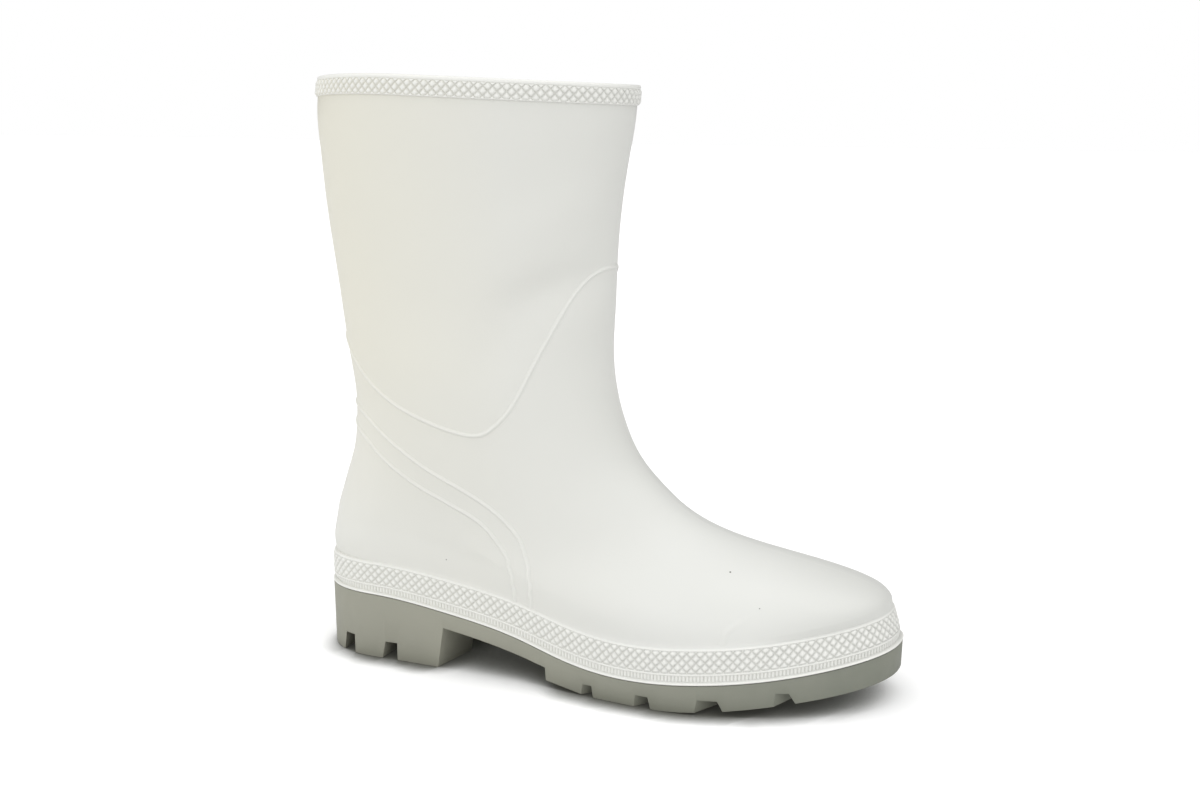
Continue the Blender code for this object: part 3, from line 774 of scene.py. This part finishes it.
def make_foxing_knurl(white):
    even = foxing_point(np.array(0.0), np.array(FOXING_KNURL_INSET), round_angles())
    cells = round(ring_length(even) / DIAMOND_WIDE)
    height = FOXING_KNURL_ROWS * DIAMOND_HIGH
    cuts = [(rise - FOXING_KNURL_FROM) / height for rise in FOXING_KNURL_CUTS]

    def surface(share, up):
        rise = FOXING_KNURL_FROM + up * height
        return foxing_point(rise, np.array(FOXING_KNURL_INSET), even_angles(even, share))

    knurl("foxing_knurl", cells, FOXING_KNURL_ROWS, cuts, surface, white)


def make_collar_knurl(white):
    even = shell_point(BOOT_RISE, round_angles())
    cells = round(ring_length(even) / DIAMOND_WIDE)
    height = COLLAR_KNURL_ROWS * DIAMOND_HIGH
    cuts = [(below - COLLAR_KNURL_FROM) / height for below in COLLAR_KNURL_CUTS]

    def surface(share, down):
        below = COLLAR_KNURL_FROM + down * height
        return collar_point(below, np.array(COLLAR_KNURL_PROUD), even_angles(even, share))

    knurl("collar_knurl", cells, COLLAR_KNURL_ROWS, cuts, surface, white)


def make_foxing_ribs(white):
    """Fine upright ribs in the strip over the welt flange."""
    even = foxing_point(np.array(0.0), np.array(RIB_INSET), round_angles())
    count = round(ring_length(even) / RIB_PITCH)
    steps = len(RIB_WAVE)
    angle = even_angles(even, np.linspace(0, 1, count * steps + 1))
    wave = np.resize(RIB_WAVE, count * steps + 1)
    # painted shade at each rib's foot, painted highlight at its crest
    painted_light = np.interp(wave, (0.0, 1.0), RIB_PAINTED_LIGHT)
    low = foxing_point(np.array(RIB_LOW), np.array(RIB_INSET), angle)
    crest_low = foxing_point(np.array(RIB_LOW), RIB_INSET - RIB_HEIGHT * wave, angle)
    crest_high = foxing_point(np.array(RIB_HIGH), RIB_INSET - RIB_HEIGHT * wave, angle)
    back_high = foxing_point(np.array(RIB_HIGH), np.array(RIB_INSET + BACKING), angle)
    back_low = foxing_point(np.array(RIB_LOW), np.array(RIB_INSET + BACKING), angle)
    shape = laid_grid(np.stack([low, crest_low, crest_high, back_high, back_low, low]), painted_light)
    merge_seams(shape)
    piece("foxing_ribs", shape, [white])


def bead_route(rows, both_sides):
    """Angles and rises along a bead, from the outer side round the back to the inner side."""
    step = np.arange(len(rows), dtype=float)
    along = np.linspace(0, step[-1], BEAD_POINTS // 2 + 1)
    angle = np.radians(spline(step, column(BEAD_COLUMNS, rows, "angle"), along))
    rise = spline(step, column(BEAD_COLUMNS, rows, "rise"), along)
    if both_sides:
        angle = np.concatenate([-angle[::-1], angle[1:]])
        rise = np.concatenate([rise[::-1], rise[1:]])
    return angle, rise


def bead_points(angle, rise, half, height, closed):
    """Rows of points along a bead: a rounded ridge whose root is sunk in the wall."""
    spot = shell_point(rise, angle)
    normal = shell_normal(rise, angle)
    forward = np.gradient(spot, axis=0)
    if closed:
        forward[0] = forward[-1] = spot[1] - spot[-2]
    across = unit(np.cross(normal, forward))
    share = np.linspace(-1.0, 1.0, BEAD_ACROSS)
    lift = height[:, None] * (0.5 + 0.5 * np.cos(math.pi * share)) ** BEAD_FULLNESS - BEAD_SINK
    top = spot[:, None] + half * share[:, None] * across[:, None] + lift[..., None] * normal[:, None]
    root = spot - BEAD_ROOT * normal
    right = (root + half * across)[:, None]
    left = (root - half * across)[:, None]
    return np.concatenate([top, right, left, top[:, :1]], 1)


def bead_painted_light(heights, painted_light):
    """How much painted highlight a bead carries: most on its crest, and none on the three points that
    close it.
    """
    crest = 0.5 + 0.5 * np.cos(math.pi * np.linspace(-1.0, 1.0, BEAD_ACROSS))
    return painted_light * (heights / heights.max())[:, None] * np.append(crest, (0.0, 0.0, 0.0))


def bead(name, rows, material, half, height, painted_light, both_sides=True, closed=False, fade=False):
    angle, rise = bead_route(rows, both_sides)
    heights = np.full(len(angle), height)
    if fade:
        heights = heights * ease(np.linspace(1 / FADE_SHARE, 0.0, len(angle)))
    shape = laid_grid(bead_points(angle, rise, half, heights, closed), bead_painted_light(heights, painted_light))
    bmesh.ops.remove_doubles(shape, verts=shape.verts[:], dist=MERGE)
    ends = [edge for edge in shape.edges if edge.is_boundary]
    bmesh.ops.holes_fill(shape, edges=ends, sides=0)
    bmesh.ops.recalc_face_normals(shape, faces=shape.faces[:])
    piece(name, shape, [material])


def make_beads(white):
    full = (white, BEAD_HALF, BEAD_HEIGHT, BEAD_PAINTED_HIGHLIGHT)
    bead("shaft_bead", SHAFT_BEAD_ROWS, *full, closed=True)
    bead("upper_counter_bead", UPPER_COUNTER_ROWS, *full)
    bead("lower_counter_bead", LOWER_COUNTER_ROWS, *full)
    cap = (white, TOE_CAP_HALF, TOE_CAP_HEIGHT, FAINT_PAINTED_HIGHLIGHT)
    for side, word in ((-1, "outer"), (1, "inner")):
        rows = [(side * angle, rise) for angle, rise in TOE_CAP_ROWS]
        bead(f"toe_cap_line_{word}", rows, *cap, both_sides=False, fade=True)
    parting = (white, PARTING_HALF, PARTING_HEIGHT, FAINT_PAINTED_HIGHLIGHT)
    bead("front_parting_line", PARTING_ROWS, *parting, both_sides=False)


def softened_copy(node, width):
    """A copy of a solid's mesh with its triangles joined and its edges rounded."""
    shape = bmesh.new()
    shape.from_mesh(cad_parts[node].data)
    bmesh.ops.remove_doubles(shape, verts=shape.verts[:], dist=MERGE)
    bmesh.ops.dissolve_limit(
        shape, angle_limit=math.radians(FLAT_ANGLE), verts=shape.verts[:], edges=shape.edges[:]
    )
    sharp = [edge for edge in shape.edges if edge.calc_face_angle(0.0) > math.radians(SHARP_ANGLE)]
    bmesh.ops.bevel(
        shape,
        geom=sharp,
        offset=width * MM,
        segments=BEVEL_SEGMENTS,
        profile=0.5,
        affect="EDGES",
        clamp_overlap=True,
        material=-1,
    )
    return shape


def make_sole(grey):
    sole = piece("tread_sole", softened_copy("outsole", SOLE_BEVEL), [grey])
    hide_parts("outsole")


def make_sock(cloth):
    sock = piece("sock", softened_copy("insole", SOCK_BEVEL), [cloth])
    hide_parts("insole")


# Materials

def new_material(name):
    material = bpy.data.materials.new(name)
    material.use_nodes = True
    tree = material.node_tree
    return material, tree, tree.nodes["Principled BSDF"]


def noise(tree, scale, detail=2.0):
    """Noise on Object coordinates; its scale is in waves to the metre."""
    place = tree.nodes.new("ShaderNodeTexCoord")
    made = tree.nodes.new("ShaderNodeTexNoise")
    made.inputs["Scale"].default_value = scale
    made.inputs["Detail"].default_value = detail
    tree.links.new(place.outputs["Object"], made.inputs["Vector"])
    return made.outputs["Fac"]


def spread(tree, source, low, high, least, most):
    """Maps a source's values from least to most onto those from low to high."""
    made = tree.nodes.new("ShaderNodeMapRange")
    made.inputs["From Min"].default_value = least
    made.inputs["From Max"].default_value = most
    made.inputs["To Min"].default_value = low
    made.inputs["To Max"].default_value = high
    tree.links.new(source, made.inputs["Value"])
    return made.outputs["Result"]


def clouded(tree, colour, second, clouds):
    """Mixes clouds of a second colour into a colour."""
    cloud = dict(zip(CLOUD_COLUMNS, clouds))
    source = noise(tree, cloud["waves"], cloud["detail"])
    return mixed(tree, spread(tree, source, 0.0, cloud["most"], *NOISE_RANGE), colour, second)


def uneven_gloss(tree, shader, roughness, waves):
    """Lets the roughness wander between its least and its most."""
    rough = spread(tree, noise(tree, waves), *roughness, *NOISE_RANGE)
    tree.links.new(rough, shader.inputs["Roughness"])


def bump(tree, shader, source, distance, strength):
    """Adds a bump over any that the shader has already."""
    made = tree.nodes.new("ShaderNodeBump")
    made.inputs["Strength"].default_value = strength
    made.inputs["Distance"].default_value = distance
    tree.links.new(source, made.inputs["Height"])
    before = shader.inputs["Normal"].links
    if before:
        tree.links.new(before[0].from_socket, made.inputs["Normal"])
    tree.links.new(made.outputs["Normal"], shader.inputs["Normal"])


def grain(tree, shader, rows):
    for row in named_rows(GRAIN_COLUMNS, rows):
        source = noise(tree, row["waves"], row["detail"])
        bump(tree, shader, source, row["distance"], row["strength"])


def object_axis(tree, axis):
    """The place along one of the frame's axes, in metres."""
    place = tree.nodes.new("ShaderNodeTexCoord")
    parts = tree.nodes.new("ShaderNodeSeparateXYZ")
    tree.links.new(place.outputs["Object"], parts.inputs["Vector"])
    return parts.outputs[axis]


def constant_vector(tree, direction):
    """A direction of length one."""
    made = tree.nodes.new("ShaderNodeCombineXYZ")
    for socket, value in zip(made.inputs, Vector(direction).normalized()):
        socket.default_value = value
    return made.outputs["Vector"]


def mixed(tree, share, first, second):
    """A colour between two, which may be plain colours or sockets."""
    made = tree.nodes.new("ShaderNodeMix")
    made.data_type = "RGBA"
    tree.links.new(share, made.inputs["Factor"])
    for socket, colour in zip(("A", "B"), (first, second)):
        target = next(item for item in made.inputs if item.name == socket and item.type == "RGBA")
        if isinstance(colour, tuple):
            target.default_value = (*colour, 1.0)
        else:
            tree.links.new(colour, target)
    return next(item for item in made.outputs if item.type == "RGBA")


def math_node(tree, operation, first, second):
    """One sum on two values, each a plain number or a socket."""
    made = tree.nodes.new("ShaderNodeMath")
    made.operation = operation
    for socket, value in zip(made.inputs, (first, second)):
        if isinstance(value, float):
            socket.default_value = value
        else:
            tree.links.new(value, socket)
    return made.outputs["Value"]


def speck(tree, colour, place, radius):
    """A small dark speck in the moulding, at a place on the boot."""
    where = tree.nodes.new("ShaderNodeTexCoord")
    away = tree.nodes.new("ShaderNodeVectorMath")
    away.operation = "DISTANCE"
    tree.links.new(where.outputs["Object"], away.inputs[0])
    away.inputs[1].default_value = metres(place)
    share = spread(tree, away.outputs["Value"], 0.0, 1.0, radius * MM, radius * MM / 2)
    return mixed(tree, share, colour, SPECK)


def white_painted_light(tree, colour):
    """Paints highlights where the moulding stands up, and paints shade in the grooves."""
    painted_light = tree.nodes.new("ShaderNodeAttribute")
    painted_light.attribute_name = "painted_light"
    highlight_share = spread(tree, painted_light.outputs["Fac"], 0.0, 1.0, 0.0, 1.0)
    shade_share = spread(tree, painted_light.outputs["Fac"], 0.0, 1.0, 0.0, -1.0)
    return mixed(tree, shade_share, mixed(tree, highlight_share, colour, WHITE_PAINTED_HIGHLIGHT), WHITE_PAINTED_SHADE)


def white_pvc():
    """Satin white with three dark specks, painted warm light towards the back of the shaft, painted shade
    at the toe and painted highlights and shade on the moulding.
    """
    material, tree, shader = new_material("white_pvc_satin")
    along = object_axis(tree, "X")
    colour = mixed(tree, spread(tree, along, 0.0, 1.0, *FOOT_FROM), WHITE_SHAFT, WHITE_COOL)
    # painted shade towards the toe
    colour = mixed(tree, spread(tree, along, 0.0, 1.0, *TOE_SHADE_FROM), colour, WHITE_TOE_SHADE)
    # painted warm light towards the back and top of the shaft
    back = spread(tree, along, 0.0, 1.0, *WARM_LIGHT_BACK)
    high = spread(tree, object_axis(tree, "Z"), 0.0, 1.0, *WARM_LIGHT_HIGH)
    colour = mixed(tree, math_node(tree, "MULTIPLY", back, high), colour, WHITE_WARM_LIGHT)
    colour = clouded(tree, colour, WHITE_CLOUD, WHITE_CLOUDS)
    # painted highlights on raised edges and painted shade in grooves
    colour = white_painted_light(tree, colour)
    for row in named_rows(SPECK_COLUMNS, SPECK_ROWS):
        place = shell_point(row["rise"], math.radians(row["angle"]))
        colour = speck(tree, colour, place, row["radius"])
    tree.links.new(colour, shader.inputs["Base Color"])
    uneven_gloss(tree, shader, WHITE_ROUGH, WHITE_ROUGH_WAVES)
    grain(tree, shader, WHITE_GRAIN)
    return material


def grey_pvc():
    """Matt grey, with painted shade that makes it darker and greener towards the toe."""
    material, tree, shader = new_material("grey_pvc_matt")
    # painted shade towards the toe
    along = spread(tree, object_axis(tree, "X"), 0.0, 1.0, *GREY_SHADE_FROM)
    colour = mixed(tree, along, GREY_LIGHT, GREY_TOE_SHADE)
    colour = clouded(tree, colour, GREY_CLOUD, GREY_CLOUDS)
    tree.links.new(colour, shader.inputs["Base Color"])
    uneven_gloss(tree, shader, GREY_ROUGH, GREY_ROUGH_WAVES)
    grain(tree, shader, GREY_GRAIN)
    return material


def knit_height(tree):
    """Plain knit: columns of stitches, each one a slanting leg that is mirrored in the next leg."""
    place = tree.nodes.new("ShaderNodeUVMap")
    place.uv_map = "stitches"
    parts = tree.nodes.new("ShaderNodeSeparateXYZ")
    tree.links.new(place.outputs["UV"], parts.inputs["Vector"])
    leg = math_node(tree, "PINGPONG", parts.outputs["X"], HALF_STITCH)
    course = math_node(tree, "ADD", parts.outputs["Y"], leg)
    return math_node(tree, "PINGPONG", course, HALF_STITCH)


def knit_lining():
    """Plain weft knit over the whole inside."""
    material, tree, shader = new_material("knit_lining")
    shader.inputs["Roughness"].default_value = CLOTH_ROUGH
    height = knit_height(tree)
    colour = mixed(tree, spread(tree, height, 0.0, 1.0, 0.0, KNIT_FULL), KNIT_DARK, KNIT_LIGHT)
    tree.links.new(colour, shader.inputs["Base Color"])
    bump(tree, shader, height, KNIT_BUMP, KNIT_STRENGTH)
    return material


def sock_cloth():
    """Plain cloth of the loose sock."""
    material, tree, shader = new_material("sock_cloth")
    shader.inputs["Roughness"].default_value = CLOTH_ROUGH
    colour = clouded(tree, SOCK_DARK, SOCK_LIGHT, SOCK_CLOUDS)
    tree.links.new(colour, shader.inputs["Base Color"])
    grain(tree, shader, SOCK_GRAIN)
    return material


# Studio

def openness(tree, direction, reach):
    """Share of the light about a direction that no near piece cuts off."""
    made = tree.nodes.new("ShaderNodeAmbientOcclusion")
    made.inputs["Distance"].default_value = reach
    tree.links.new(constant_vector(tree, direction), made.inputs["Normal"])
    return made.outputs["AO"]


def floor_paper():
    """White paper with a soft shade where the boot stands on it."""
    material, tree, shader = new_material("floor_paper")
    ray = tree.nodes.new("ShaderNodeLightPath").outputs["Is Camera Ray"]
    colour = mixed(tree, ray, FLOOR_BOUNCE, FLOOR_SEEN)
    for row in named_rows(CONTACT_COLUMNS, CONTACT_ROWS):
        near = openness(tree, row["towards"], row["reach"])
        share = spread(tree, near, 0.0, 1.0, row["dark"], row["clear"])
        colour = mixed(tree, share, CONTACT_SHADE, colour)
    tree.links.new(colour, shader.inputs["Base Color"])
    tree.links.new(mixed(tree, ray, BLACK, colour), shader.inputs["Emission Color"])
    shader.inputs["Emission Strength"].default_value = FLOOR_GLOW
    shader.inputs["Roughness"].default_value = FLOOR_ROUGH
    return material


def make_floor():
    shape = bmesh.new()
    bmesh.ops.create_grid(shape, x_segments=1, y_segments=1, size=FLOOR_HALF)
    bmesh.ops.translate(shape, verts=shape.verts[:], vec=(0.0, 0.0, -FLOOR_BELOW))
    mesh = bpy.data.meshes.new("floor")
    shape.to_mesh(mesh)
    shape.free()
    mesh.materials.append(floor_paper())
    floor = bpy.data.objects.new("floor", mesh)
    bpy.context.scene.collection.objects.link(floor)


def toward(tree, azimuth):
    """How far a direction of the sky points towards an azimuth, from -1 to 1."""
    turn = math.radians(CAMERA_TURN + azimuth)
    made = tree.nodes.new("ShaderNodeVectorMath")
    made.operation = "DOT_PRODUCT"
    place = tree.nodes.new("ShaderNodeTexCoord")
    tree.links.new(place.outputs["Generated"], made.inputs[0])
    made.inputs[1].default_value = (math.sin(turn), -math.cos(turn), 0.0)
    return made.outputs["Value"]


def make_world():
    """A white studio, brighter on one side, dark on the other and dimmer in reflections."""
    world = bpy.data.worlds.new("studio")
    world.use_nodes = True
    tree = world.node_tree
    ray = tree.nodes.new("ShaderNodeLightPath")
    back = tree.nodes["Background"]
    least = SKY_FILL * (1 - SKY_SLOPE)
    most = SKY_FILL * (1 + SKY_SLOPE)
    fill = spread(tree, toward(tree, SKY_AZIMUTH), least, most, -1.0, 1.0)
    board = spread(tree, toward(tree, BOARD_AZIMUTH), 0.0, 1.0, *BOARD_EDGE)
    fill = mixed(tree, board, fill, (BOARD_FILL,) * 3)
    light = mixed(tree, ray.outputs["Is Glossy Ray"], fill, (GLOSS_FILL,) * 3)
    seen = mixed(tree, ray.outputs["Is Camera Ray"], light, WHITE)
    tree.links.new(seen, back.inputs["Color"])
    bpy.context.scene.world = world


def far_light(name, azimuth, elevation, width, strength):
    """A broad far light, its width and angles in degrees."""
    light = bpy.data.lights.new(name, "SUN")
    light.angle = math.radians(width)
    light.energy = strength
    obj = bpy.data.objects.new(name, light)
    tilt = math.radians(90.0 - elevation)
    obj.rotation_euler = (tilt, 0.0, math.radians(CAMERA_TURN + azimuth))
    bpy.context.scene.collection.objects.link(obj)


def make_lights():
    for row in named_rows(LIGHT_COLUMNS, LIGHT_ROWS):
        far_light(**row)


def make_camera():
    data = bpy.data.cameras.new("camera")
    data.lens = CAMERA_LENS
    data.sensor_width = CAMERA_SENSOR
    camera = bpy.data.objects.new("camera", data)
    camera.location = metres(np.array(CAMERA_PLACE))
    camera.rotation_euler = (math.radians(90.0 - CAMERA_TILT), 0.0, math.radians(CAMERA_TURN))
    bpy.context.scene.collection.objects.link(camera)
    bpy.context.scene.camera = camera


def main():
    white = white_pvc()
    make_upper(white, knit_lining())
    make_foxing_knurl(white)
    make_foxing_ribs(white)
    make_collar_knurl(white)
    make_beads(white)
    make_sole(grey_pvc())
    make_sock(sock_cloth())
    make_floor()
    make_world()
    make_lights()
    make_camera()
    bpy.context.scene.view_settings.view_transform = "Standard"


main()
